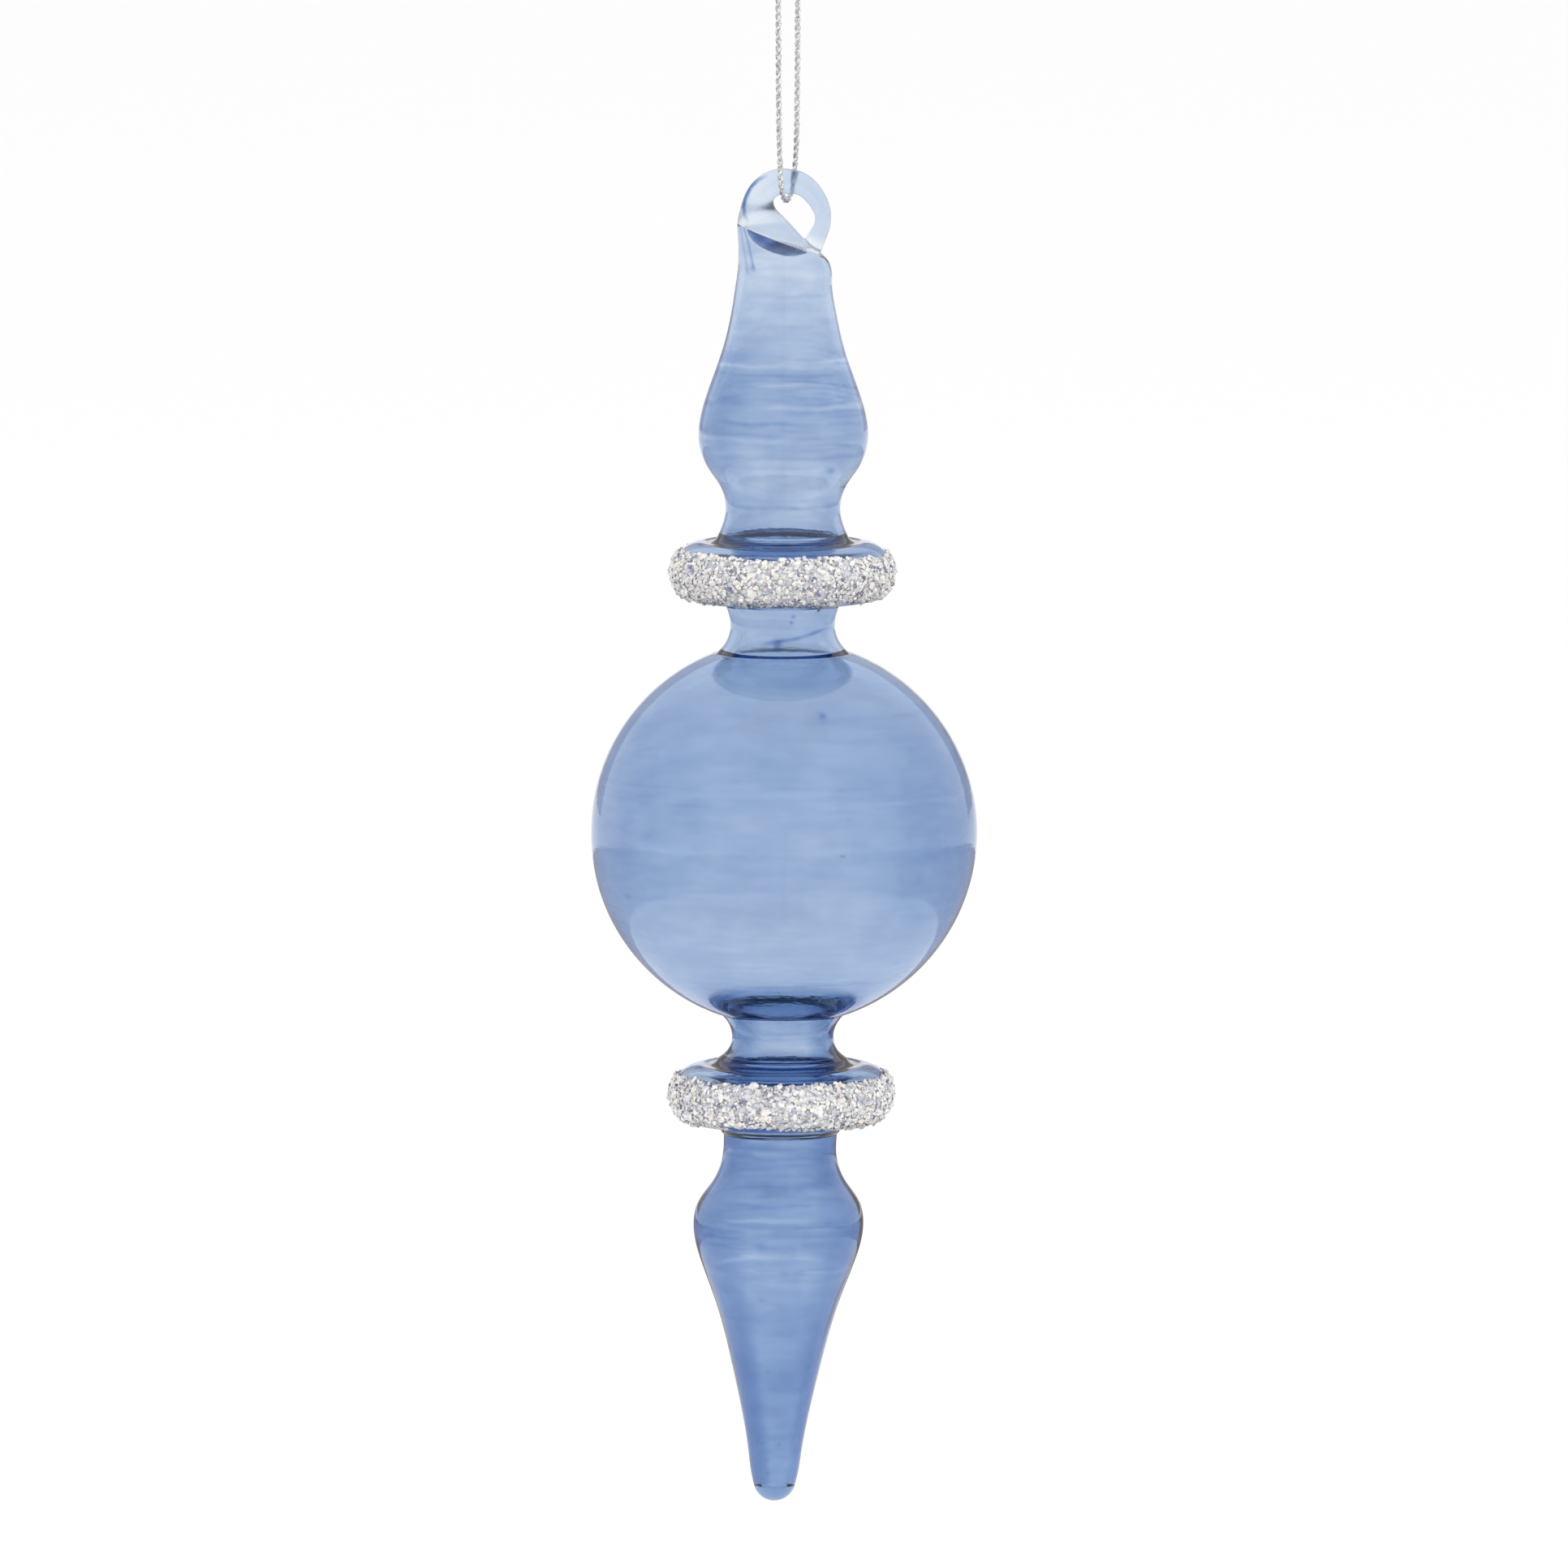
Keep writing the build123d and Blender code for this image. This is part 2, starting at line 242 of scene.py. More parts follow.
def even(line, steps):
    """The same line with its points evenly spaced."""
    line = np.array(line, float)
    along = np.concatenate([[0], np.cumsum(np.linalg.norm(np.diff(line, axis=0), axis=1))])
    wanted = np.linspace(0, along[-1], steps)
    return np.stack([np.interp(wanted, along, line[:, k]) for k in range(line.shape[1])], axis=1)


def arc(centre, radius, start, end, steps):
    """Points (radius, depth) round a centre; angles in degrees from outwards, up positive."""
    angles = np.radians(np.linspace(start, end, steps))
    return np.stack([centre[0] + radius * np.cos(angles), centre[1] - radius * np.sin(angles)], axis=1)


def add_mesh(name, points, faces, mat, sharp=None):
    mesh = bpy.data.meshes.new(name)
    faces = faces if isinstance(faces, list) else np.asarray(faces).tolist()
    mesh.from_pydata(np.asarray(points).tolist(), [], faces)
    mesh.validate()
    mesh.shade_smooth()
    if sharp is not None:
        mesh.set_sharp_from_angle(angle=radians(sharp))
    mesh.materials.append(mat)
    made = bpy.data.objects.new(name, mesh)
    bpy.context.collection.objects.link(made)
    return made


def closed_grid(rows, sides):
    """Faces between rows of points that close on themselves both ways."""
    return [
        (i * sides + k, j * sides + k, j * sides + (k + 1) % sides, i * sides + (k + 1) % sides)
        for i, j in ((row, (row + 1) % rows) for row in range(rows))
        for k in range(sides)
    ]


def as_one(name, parts, mat):
    """One object from several parts, each its points and its faces."""
    points, faces, offset = [], [], 0
    for part_points, part_faces in parts:
        points.append(part_points)
        faces += [tuple(i + offset for i in face) for face in part_faces]
        offset += len(part_points)
    return add_mesh(name, np.concatenate(points), faces, mat)


# How far the hand-made glass strays sideways, in mm, at a few depths
STRAY = [(0, 0.0), (16, 0.0), (45, -0.1), (62, -0.25), (99, 0.0), (131, -0.2), (148, -0.6), (210, -0.6)]


def hand_made(x, y, depth, seed=1, ripple=0.03):
    """Moves points (mm, about the glass axis) as hand work does: off centre, a little oval and wavy."""
    turn = np.arctan2(y, x)
    radius = np.hypot(x, y)
    waves = np.random.default_rng(seed)
    shift = np.zeros_like(radius)
    for lobes in (1, 2, 3, 5, 8):
        phase, drift, size = waves.uniform(0, 2 * pi), waves.uniform(-0.06, 0.06), waves.uniform(0.5, 1.0)
        shift += size / lobes**0.5 * np.sin(lobes * turn + phase + drift * depth * lobes)
    waviness = ripple * np.clip((depth - 14) / 8, 0, 1) * np.minimum(radius / 8, 1)
    radius = radius + waviness * shift
    stray = np.interp(depth, [d for d, _ in STRAY], [s for _, s in STRAY])
    below = np.maximum(depth - LEAN_FROM, 0)
    return radius * np.cos(turn) + stray - below * sin(LEAN), radius * np.sin(turn), depth


def in_frame(x, y, depth):
    """Points in the frame, in metres, from mm about the glass axis."""
    return np.stack([GLASS_X + x * MM, y * MM, EYE_TOP - depth * MM], axis=-1)


# ---------------------------------------------------------------- the blue of the glass

SOAK = np.array([0.90, 0.64, 0.325])  # how fast the glass takes out red, green and blue
MOST_SOAK = 9.0


def stroke(x, y, depth, left, right, at, half, strength, tilt=0.0):
    """A drawn streak on the front: from left to right (mm from the cord's axis), thick about its depth."""
    ends = 1 / (1 + np.exp(-(x - left) / 0.5)) / (1 + np.exp((x - right) / 0.5))
    grain = 0.75 + 0.35 * np.sin(1.7 * x + at) * np.sin(0.9 * x - 2 * at)
    line = at + tilt * (x - (left + right) / 2) + 0.12 * np.sin(0.8 * x + at)
    return strength * grain * ends * np.exp(-(((depth - line) / half) ** 2)) * (y < 0)


def spot(x, y, depth, at_x, at_depth, size, strength):
    return strength * np.exp(-((x - at_x) ** 2 + (depth - at_depth) ** 2) / size**2) * (y < 0)


def random_streaks(turn, depth, low, high, count, strength, seed):
    """Faint rings of drawn glass, each over part of a turn."""
    dice = np.random.default_rng(seed)
    total = np.zeros_like(depth)
    for _ in range(count):
        at, half, middle = dice.uniform(low, high), dice.uniform(0.12, 0.42), dice.uniform(0, 2 * pi)
        reach, size, tilt = dice.uniform(0.3, 1.3), dice.normal(0, strength), dice.uniform(-0.3, 0.3)
        away = np.abs((turn - middle + pi) % (2 * pi) - pi)
        window = 1 / (1 + np.exp((away - reach) / 0.08))
        line = at + tilt * np.sin(turn - middle) + 0.10 * np.sin(7 * turn + at) + 0.05 * np.sin(17 * turn - 3 * at)
        total += size * window * np.exp(-(((depth - line) / half) ** 2))
    return total


def tint_colours(made, soak):
    """Stores how much blue the surface adds, painted shade, highlights and reflections included, as the colour
    that its shader reads.
    """
    colours = np.exp(-np.clip(soak, 0, MOST_SOAK)[:, None] * SOAK)
    colours = np.concatenate([colours, np.ones((len(colours), 1))], axis=1)
    made.data.color_attributes.new("tint", "FLOAT_COLOR", "POINT").data.foreach_set("color", colours.ravel())


# ---------------------------------------------------------------- cord and knot

CORD_D = 0.9
BAR_X, BAR_DEPTH, CLEARANCE = -0.2, 1.9, 0.5
front = [
    (-0.5, 0.0, 1.45), (-1.3, -0.1, -2.6), (-1.43, -0.4, -10.6), (-1.47, -1.1, -26.0),
    (-1.42, -1.85, -41.0), (-1.33, -2.35, -50.0), (-1.2, -2.62, -54.6),
]
corner = (BAR_DEPTH + CORD_D / 2 + CLEARANCE) / cos(radians(22.5))
bight = [
    (BAR_X + x, corner * cos(radians(a)), EYE_TOP / MM - BAR_DEPTH + corner * sin(radians(a)))
    for x, a in ((-0.8, 202.5), (-0.35, 247.5), (0.35, 292.5), (0.8, 337.5))
]
route = front + bight + [(-x, -y, z) for x, y, z in reversed(front)]


def read_spline(points, name):
    """The line of a NURBS spline whose control points are these, in metres."""
    curve = bpy.data.curves.new(name, "CURVE")
    curve.dimensions = "3D"
    curve.resolution_u = 24
    spline = curve.splines.new("NURBS")
    spline.points.add(len(points) - 1)
    for point, place in zip(spline.points, points):
        point.co = (*(c * MM for c in place), 1)
    spline.order_u = 3
    spline.use_endpoint_u = True
    holder = bpy.data.objects.new(name, curve)
    bpy.context.collection.objects.link(holder)
    bpy.context.view_layer.update()
    mesh = bpy.data.meshes.new_from_object(holder.evaluated_get(bpy.context.evaluated_depsgraph_get()))
    line = np.array([v.co for v in mesh.vertices])
    bpy.data.objects.remove(holder)
    return line


def along(line, step):
    length = np.linalg.norm(np.diff(line, axis=0), axis=1).sum()
    return even(line, int(length / step) + 1)


def frames_along(line):
    """Tangent and two sides at each point, carried along without twist."""
    way = np.gradient(line, axis=0)
    way /= np.linalg.norm(way, axis=1)[:, None]
    side = np.cross(way[0], (0.3, 1.0, 0.2))
    sides = []
    for tangent in way:
        side = side - tangent * side.dot(tangent)
        side /= np.linalg.norm(side)
        sides.append(side.copy())
    sides = np.array(sides)
    return way, sides, np.cross(way, sides)


def plies(line, pitch, ply_r, lay_r, count=2, sides=10, seed=0, wobble=0.05):
    """Strands laid round a line, all in metres: points and faces."""
    way, u, v = frames_along(line)
    run = np.concatenate([[0], np.cumsum(np.linalg.norm(np.diff(line, axis=0), axis=1))])
    dice = np.random.default_rng(seed)
    points, faces, offset = [], [], 0
    turns = np.linspace(0, 2 * pi, sides, endpoint=False)
    for ply in range(count):
        wave = sum(np.sin(run / p + dice.uniform(0, 2 * pi)) for p in (0.0013, 0.0031, 0.0072)) * wobble
        angle = 2 * pi * run / pitch + 2 * pi * ply / count + wave
        middle = line + lay_r * (np.cos(angle)[:, None] * u + np.sin(angle)[:, None] * v)
        way_p, u_p, v_p = frames_along(middle)
        thick = ply_r * (1 + wobble * np.sin(run / 0.0009 + ply))[:, None]
        for turn in turns:
            points.append(middle + thick * (cos(turn) * u_p + sin(turn) * v_p))
        steps = len(line)
        block = np.stack(points[-sides:], axis=1).reshape(-1, 3)
        points[-sides:] = [block]
        for i in range(steps - 1):
            for k in range(sides):
                a, b = offset + i * sides + k, offset + i * sides + (k + 1) % sides
                faces.append((a, b, b + sides, a + sides))
        faces.append(tuple(range(offset, offset + sides))[::-1])
        faces.append(tuple(range(offset + (steps - 1) * sides, offset + steps * sides)))
        offset += steps * sides
    return np.concatenate(points), faces


cord_mat, nt, shader = material("silver_cord")
place = node(nt, "ShaderNodeTexCoord").outputs["Object"]
thread = {"Vector": place, "Scale": 3000.0, "Detail": 3.0, "Roughness": 0.6}
thread = node(nt, "ShaderNodeTexNoise", thread).outputs["Fac"]
silver = ramp(nt, thread, [(0.38, (0.42, 0.42, 0.44)), (0.6, (0.90, 0.90, 0.91))])
nt.links.new(silver, shader.inputs["Base Color"])
shader.inputs["Metallic"].default_value = 0.85
shader.inputs["Roughness"].default_value = 0.3

line = along(read_spline(route, "cord_line"), 0.00022)
hanging_cord = add_mesh("hanging_cord", *plies(line, 0.0024, 0.00025, 0.0002, seed=3), cord_mat)
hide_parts("hanging_cord")
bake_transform(hanging_cord)

KNOT = [
    (0.0, 0.0, 1.5), (0.5, -0.5, 2.1), (0.95, 0.1, 3.0), (0.2, 0.9, 3.9), (-0.8, 0.4, 4.3),
    (-0.75, -0.6, 3.6), (0.1, -0.95, 2.6), (0.9, -0.2, 2.1), (0.4, 0.75, 2.4), (-0.35, 0.35, 3.3),
    (-0.1, -0.1, 4.4), (0.0, 0.0, 5.3),
]
tails = {
    -1: [(-0.55, 0.05, 6.2), (-0.75, 0.1, 8.4), (-1.5, 0.2, 11.6), (-2.9, 0.1, 14.4)],
    1: [(0.55, 0.0, 6.0), (0.9, -0.2, 7.8), (2.0, -0.5, 10.1), (3.5, -0.6, 11.8)],
}
strands = []
for hand, tail in tails.items():
    base = smooth_line(KNOT, 80)
    way, u, v = frames_along(base)
    doubled = base + hand * 0.36 * u
    doubled[0] = (hand * 0.5, 0, 1.5)
    path = along(np.concatenate([doubled[::4], tail]) * MM, 0.0002)
    path = smooth_line(np.concatenate([path[:-3:6], path[-1:]]), len(path))
    strands.append(plies(path, 0.0024, 0.00022, 0.00019, seed=5 + hand))
knot = as_one("cord_knot", strands, cord_mat)
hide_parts("cord_knot", "cord_tail_long", "cord_tail_short")
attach(knot, "knot")

# ---------------------------------------------------------------- glass

GAP = 0.01  # mm between one section of glass and the next
WALL = 1.1


def blue_glass(name, density, mottle=0.22, haze_from=0.0, haze_to=0.04, ior=1.47):
    """Clear glass with drawn streaks: the surface carries its tint, and the body soaks up the rest."""
    mat, nt, shader = material(name)
    place = node(nt, "ShaderNodeTexCoord").outputs["Object"]
    drawn = node(nt, "ShaderNodeMapping", {"Vector": place, "Scale": (0.22, 0.22, 1.0)}).outputs[0]
    streak = node(
        nt, "ShaderNodeTexNoise", {"Vector": drawn, "Scale": 520.0, "Detail": 4.0, "Roughness": 0.6}
    ).outputs["Fac"]
    cloud = node(nt, "ShaderNodeTexNoise", {"Vector": place, "Scale": 150.0, "Detail": 2.0}).outputs["Fac"]
    both = node(nt, "ShaderNodeMix", {0: 0.45, 2: streak, 3: cloud}, data_type="FLOAT").outputs[0]
    deep = tuple(1 - mottle * w for w in (1.0, 0.78, 0.42))
    shades = ramp(nt, both, [(0.36, deep), (0.62, (1, 1, 1))])
    tint = node(nt, "ShaderNodeAttribute", attribute_name="tint").outputs["Color"]
    mixed = node(nt, "ShaderNodeMix", {0: 1.0, 6: tint, 7: shades}, data_type="RGBA", blend_type="MULTIPLY")
    nt.links.new(mixed.outputs[2], shader.inputs["Base Color"])
    haze = node(nt, "ShaderNodeTexNoise", {"Vector": place, "Scale": 160.0, "Detail": 3.0}).outputs["Fac"]
    rough = node(nt, "ShaderNodeMapRange", {"Value": haze, "To Min": haze_from, "To Max": haze_to}).outputs[0]
    nt.links.new(rough, shader.inputs["Roughness"])
    bump = node(nt, "ShaderNodeBump", {"Height": streak, "Strength": 0.10, "Distance": 0.0003}).outputs[0]
    nt.links.new(bump, shader.inputs["Normal"])
    shader.inputs["Transmission Weight"].default_value = 1.0
    shader.inputs["IOR"].default_value = ior
    soak = node(nt, "ShaderNodeVolumeAbsorption", {"Color": (*(1 - SOAK), 1), "Density": density})
    nt.links.new(soak.outputs[0], nt.nodes["Material Output"].inputs["Volume"])
    return mat


def shell(name, outer, inner, mat, soak, segments=256, ripple=0.03):
    """A hollow section of hand-made glass, seamed to its neighbours.

    Rows of outer and inner run from top to bottom, as (half width along X, depth) or as
    (half width along X, depth, centre from the glass axis, half width along Y).
    soak(x, y, depth) is the extra tint of the outside, painted shade, highlights and reflections included, at
    points in mm from the cord's axis."""
    rows = []
    for line in (outer, inner):
        line = np.array(line, float)
        if line.shape[1] == 2:
            line = np.stack([line[:, 0], line[:, 1], np.zeros(len(line)), line[:, 0]], axis=1)
        line[0, 1] += GAP / 2
        line[-1, 1] -= GAP / 2
        rows.append(line)
    count = len(rows[0]) + len(rows[1])
    every = np.concatenate([rows[0], rows[1][::-1]])
    turns = np.linspace(0, 2 * pi, segments, endpoint=False)
    x = every[:, 2:3] + every[:, 0:1] * np.cos(turns)
    y = every[:, 3:4] * np.sin(turns)
    depth = np.repeat(every[:, 1:2], segments, axis=1)
    outside, inside = hand_made(x, y, depth, 1, ripple), hand_made(x, y, depth, 2, ripple * 1.8)
    on_bore = (np.arange(count) >= len(rows[0]))[:, None]
    x, y, depth = (np.where(on_bore, b, a) for a, b in zip(outside, inside))
    faces = closed_grid(count, segments)
    made = add_mesh(name, in_frame(x, y, depth).reshape(-1, 3), faces, mat, 50)
    extra = np.where(on_bore, 0.0, soak(x + GLASS_X / MM, y, depth))
    tint_colours(made, extra.ravel())
    return made


def on_ornament(made, node_name):
    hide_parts(node_name)
    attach(made, "ornament")


# The slanting seam between the tube and the solid eye, in mm from the cord's axis
SLANT_LEFT, SLANT_RIGHT = (-7.5, 8.2), (5.6, 13.2)
SLANT = atan2(SLANT_RIGHT[1] - SLANT_LEFT[1], SLANT_RIGHT[0] - SLANT_LEFT[0])
PLUG_X = -1.45


def seam_at(x):
    """Depth of the slanting seam."""
    return SLANT_LEFT[1] + tan(SLANT) * (x - SLANT_LEFT[0])


def on_slant(along_seam, across, over):
    """A point in the frame, in metres, from mm along the seam, across it and over it."""
    x = PLUG_X + along_seam * cos(SLANT) + over * sin(SLANT)
    depth = seam_at(PLUG_X) + along_seam * sin(SLANT) - over * cos(SLANT)
    return np.stack([x * MM, across * MM, EYE_TOP - depth * MM], axis=-1)


# Closed top of the tube: centre from the cord's axis, depth, half widths along X and Y
CLOSED_TOP = [
    (-0.6, 14.2, 6.85, 6.85), (-0.95, 13.2, 6.5, 6.8), (-1.72, 12.0, 5.72, 6.5),
    (-2.6, 10.4, 4.9, 5.9), (-3.68, 8.1, 3.88, 4.7), (-4.5, 5.9, 2.6, 2.9),
]

drop_glass = blue_glass("blue_glass_upper_drop", 240.0)
upper_drop_outline = [
    (7.2, 17.2), (7.65, 20.4), (9.2, 27.2), (11.6, 34.1), (12.65, 40.6), (11.5, 44.4), (9.25, 47.9),
    (8.6, 51.2), (9.7, 54.9),
]


def drop_rows(thinner, steps, foot):
    """Rows of the drop's outside or bore: the closed top, then the outline, then its foot's radius."""
    top = [(hx - thinner, d, x - GLASS_X / MM, hy - thinner) for x, d, hx, hy in CLOSED_TOP[::-1]]
    rest = [(r - thinner, d, 0.0, r - thinner) for r, d in upper_drop_outline[:-1]]
    rest += [(foot, 54.9, 0.0, foot)]
    return smooth_line(top + rest, steps)


def upper_drop_tint_and_shade(x, y, depth):
    turn = np.arctan2(y, x)
    levels = [6, 15, 22, 27, 32, 37, 42, 48, 52, 55]
    soak = np.interp(depth, levels, [0.0, 0.0, 0.19, 0.46, 0.64, 0.64, 0.38, 0.26, 0.30, 0.44])
    # Painted shade: darker towards the left and right edges as seen from the front, more on the left
    side = (x - GLASS_X / MM) / 12.0
    soak = soak + (0.22 - 0.08 * np.sign(side)) * np.clip((np.abs(side) - 0.35) / 0.4, 0, 1) * (depth > 27)
    soak = soak + 1.9 * random_streaks(turn, depth, 28, 44, 66, 0.16, 31)
    soak = soak + random_streaks(turn, depth, 15, 54, 60, 0.12, 32)
    for left, right, at, half, strength in (
        (-10.0, 0.8, 37.3, 0.28, 0.42), (-10.4, -5.6, 33.9, 0.8, 0.30), (-4.6, 6.2, 33.8, 0.22, 0.22),
        (-1.5, 5.6, 28.7, 0.35, -0.16), (-0.5, 8.5, 35.6, 0.6, 0.16), (1.6, 8.5, 37.6, 0.35, 0.20),
        (1.5, 5.5, 39.6, 0.25, 0.24), (-10.6, -8.2, 39.4, 1.0, 0.22), (-7.5, 5.0, 43.9, 0.3, 0.14),
        (-8.2, 8.2, 50.1, 0.32, 0.34), (-7.4, -2.6, 51.6, 0.9, 0.16), (3.0, 8.4, 51.2, 0.8, 0.14),
        (-9.0, 2.0, 31.0, 0.5, 0.10), (-3.0, 9.0, 30.4, 0.4, 0.12), (-6.0, 4.0, 25.0, 0.4, 0.07),
    ):
        soak = soak + 2.2 * stroke(x, y, depth, left, right, at, half, strength)
    soak = soak + spot(x, y, depth, 6.4, 44.5, 0.5, 1.1) + spot(x, y, depth, 5.7, 44.7, 0.9, 0.25)
    soak = soak + spot(x, y, depth, -8.3, 46.1, 0.22, 0.8) + spot(x, y, depth, -5.2, 14.5, 0.35, 1.6)
    # Painted shade along two fold lines on the left shoulder
    crease_shade = np.interp(depth, [8.6, 11, 14.2], [-6.6, -5.9, -5.2])
    soak = soak + 1.2 * np.exp(-(((x - crease_shade) / 0.16) ** 2)) * (y < 0) * (depth < 14.4)
    crease_shade = np.interp(depth, [8.8, 11, 15.5], [-7.1, -6.7, -6.0])
    soak = soak + 0.8 * np.exp(-(((x - crease_shade) / 0.16) ** 2)) * (y < 0) * (depth < 15.5)
    soak = soak + 0.2 * np.clip((depth - 53.9) / 0.4, 0, 1)
    return soak + 0.10 * np.exp(-(((x + 0.7) / 0.2) ** 2)) * (y < 0)


outer, inner = drop_rows(0, 210, 9.7), drop_rows(WALL, 90, 8.5)
upper_drop = shell("upper_drop", outer, inner, drop_glass, upper_drop_tint_and_shade, 240)
bm = bmesh.new()
bm.from_mesh(upper_drop.data)
below_seam = Vector(on_slant(np.array(0.0), np.array(0.0), np.array(-GAP / 2)))
cut = bmesh.ops.bisect_plane(
    bm, geom=bm.verts[:] + bm.edges[:] + bm.faces[:], plane_co=below_seam,
    plane_no=(sin(SLANT), 0, cos(SLANT)), clear_outer=True,
)
rims = [e for e in cut["geom_cut"] if isinstance(e, bmesh.types.BMEdge)]
bmesh.ops.bridge_loops(bm, edges=rims)
bmesh.ops.recalc_face_normals(bm, faces=bm.faces)
bm.to_mesh(upper_drop.data)
bm.free()
upper_drop.data.set_sharp_from_angle(angle=radians(50))
on_ornament(upper_drop, "upper_drop")

globe_glass = blue_glass("blue_glass_globe", 300.0, mottle=0.16)
GLOBE_MIDDLE, GLOBE_R = 99.6, 28.9


def globe_line(radius, top, bottom, steps):
    """The globe's side, at a radius, between two heights over its middle."""
    start, end = (degrees(np.arcsin(height / radius)) for height in (top, bottom))
    return arc((0, GLOBE_MIDDLE), radius, start, end, steps)


def globe_tint_and_painted_light(x, y, depth):
    turn = np.arctan2(y, x)
    height = GLOBE_MIDDLE - depth
    side = np.clip(np.abs(x - GLASS_X / MM) / GLOBE_R, 0, 1)
    levels = [73, 81.6, 93.6, 103.4, 112, 118.5, 126]
    soak = np.interp(depth, levels, [0.38, 0.55, 0.61, 0.50, 0.40, 0.28, 0.40])
    # Painted shade: a little darker towards the left and right edges as seen from the front
    soak = soak + 0.10 * np.clip((side - 0.35) / 0.4, 0, 1)
    soak = soak + random_streaks(turn, depth, 76, 124, 70, 0.10, 41)
    soak = soak + 0.40 * np.exp(-(((x - 21.0) / 5.0) ** 2) - ((height - 2) / 11) ** 2) * (y < 0)
    # Painted highlight: a lighter patch high on the right of the front
    soak = soak - 0.10 * np.exp(-(((x - 14.0) / 4.0) ** 2) - ((height - 20) / 4.0) ** 2) * (y < 0)
    soak = soak + 0.12 * np.exp(-(((x + 0.7) / 0.45) ** 2)) * (np.abs(height + 3.5) < 8) * (y < 0)
    # Painted shade: a faint darker band down the left edge
    soak = soak + 0.06 / (1 + np.exp((x + 19.3) / 0.25)) * (y < 0) * (np.abs(height) < 18)
    # Painted reflection of the dark underside of the disc on the shoulder's front, and a painted dark collar of
    # shade round the bottom
    away = ((x + 1.0) / 10.1) ** 2 + ((depth - 74.6) / 3.25) ** 2
    painted_disc_reflection = 0.34 / (1 + np.exp((away - 1) / 0.03)) + 0.36 * np.exp(-(((away - 1) / 0.07) ** 2))
    soak = soak + painted_disc_reflection * (y < 0)
    # Painted shade where the globe meets the neck, deepest and tallest on the side facing the front
    facing = np.clip((-np.sin(turn) - 0.5) / 0.38, 0, 1)
    facing = facing * facing * (3 - 2 * facing)
    edge = 125.3 - 2.8 * facing
    soak = soak + (1.3 + 1.0 * facing) / (1 + np.exp(-(depth - edge) / (0.45 - 0.25 * facing)))
    for at_x, at, size, strength in (
        (5.1, 80.0, 0.42, 1.6), (8.9, 94.8, 0.2, 1.0), (8.0, 100.2, 0.22, 1.2), (-23.8, 107.5, 0.3, 0.8),
        (16.0, 117.5, 0.18, 0.8), (-7.0, 112.0, 0.16, 0.7),
    ):
        soak = soak + spot(x, y, depth, at_x, at, size, strength)
    return soak


outer, inner = globe_line(GLOBE_R, 27.0, -27.1, 230), globe_line(27.8, 27.0, -27.1, 60)
on_ornament(shell("globe", outer, inner, globe_glass, globe_tint_and_painted_light, 288, ripple=0.035), "globe")


def round_rim(rim_depth, radius, start, end, steps):
    return arc((12.0, rim_depth), radius, start, end, steps)


def joined(*runs):
    return np.concatenate([np.array(run, float) for run in runs])


def disc_lines(rim_depth, top, bottom):
    """Outer and inner lines of a hollow disc; the feet are collars of thick glass."""
    over = [(9.7, top), (10.0, top + 0.5), (10.6, rim_depth - 4.44), (11.98, rim_depth - 4.5)]
    under = [(11.98, rim_depth + 4.5), (9.4, rim_depth + 4.46), (8.8, bottom - 0.3), (8.5, bottom)]
    outer = joined(
        smooth_line(over, 14)[:-1], round_rim(rim_depth, 4.5, 90, -90, 90), smooth_line(under, 16)[1:]
    )
    lip = [(8.5, top), (8.25, top + 0.9), (7.2, top + 2.0), (6.9, top + 3.3), (7.5, top + 4.1)]
    over = lip + [(8.5, top + 3.6), (9.3, top + 2.5), (10.6, rim_depth - 3.35), (11.98, rim_depth - 3.4)]
    under = [(11.98, rim_depth + 3.4), (8.8, rim_depth + 3.3)]
    under += [(7.2, bottom - 1.9), (6.9, bottom - 1.0), (7.4, bottom)]
    inner = joined(
        smooth_line(over, 46)[:-1], round_rim(rim_depth, 3.4, 90, -90, 50), smooth_line(under, 34)[1:]
    )
    return outer, inner


disc_glass = blue_glass("blue_glass_discs", 300.0)
for disc, rim_depth, top, bottom in (("upper_disc", 60.3, 54.9, 65.4), ("lower_disc", 138.9, 133.6, 145.0)):
    def disc_tint_and_shade(x, y, depth, top=top, collar=0.3 if top < 100 else 1.5):
        reach = np.hypot(x - GLASS_X / MM, y)
        streaks = random_streaks(np.arctan2(y, x), depth, top, top + 3, 14, 0.25, 51)
        # Painted shade: a darker ring round the foot where the neck joins, much deeper on the lower disc
        return 0.34 + collar * np.exp(-(((reach - 9.9) / 0.9) ** 2)) * (depth < top + 3) + streaks

    on_ornament(shell(disc, *disc_lines(rim_depth, top, bottom), disc_glass, disc_tint_and_shade), disc)

neck_glass = blue_glass("blue_glass_necks", 300.0)


def neck_tint_and_shade(x, y, depth):
    soak = 0.29 + random_streaks(np.arctan2(y, x), depth, 65, 73, 12, 0.12, 61)
    soak = soak + random_streaks(np.arctan2(y, x), depth, 126, 134, 12, 0.14, 62)
    soak = soak + stroke(x, y, depth, -2.9, 5.3, 69.6, 0.26, 2.4, -0.21)
    soak = soak + spot(x, y, depth, -1.6, 70.6, 0.6, 1.8)
    soak = soak + spot(x, y, depth, 0.8, 66.4, 0.3, 1.5) + spot(x, y, depth, 0.5, 67.3, 0.3, 1.3)
    soak = soak + stroke(x, y, depth, -6.8, -5.3, 128.5, 0.35, 0.9, 0.9)
    soak = soak + stroke(x, y, depth, 4.4, 6.6, 128.5, 0.3, 0.7, -0.6)
    soak = soak + stroke(x, y, depth, -5.0, 4.0, 132.6, 0.5, 0.6)
    # The lower neck takes more tint all round, and painted shade darker towards its left and right edges as seen
    # from the front
    side = np.abs(x - GLASS_X / MM + 0.2) / 8.0
    return soak + (0.18 + 0.6 * np.clip((side - 0.45) / 0.3, 0, 1)) * (depth > 100)


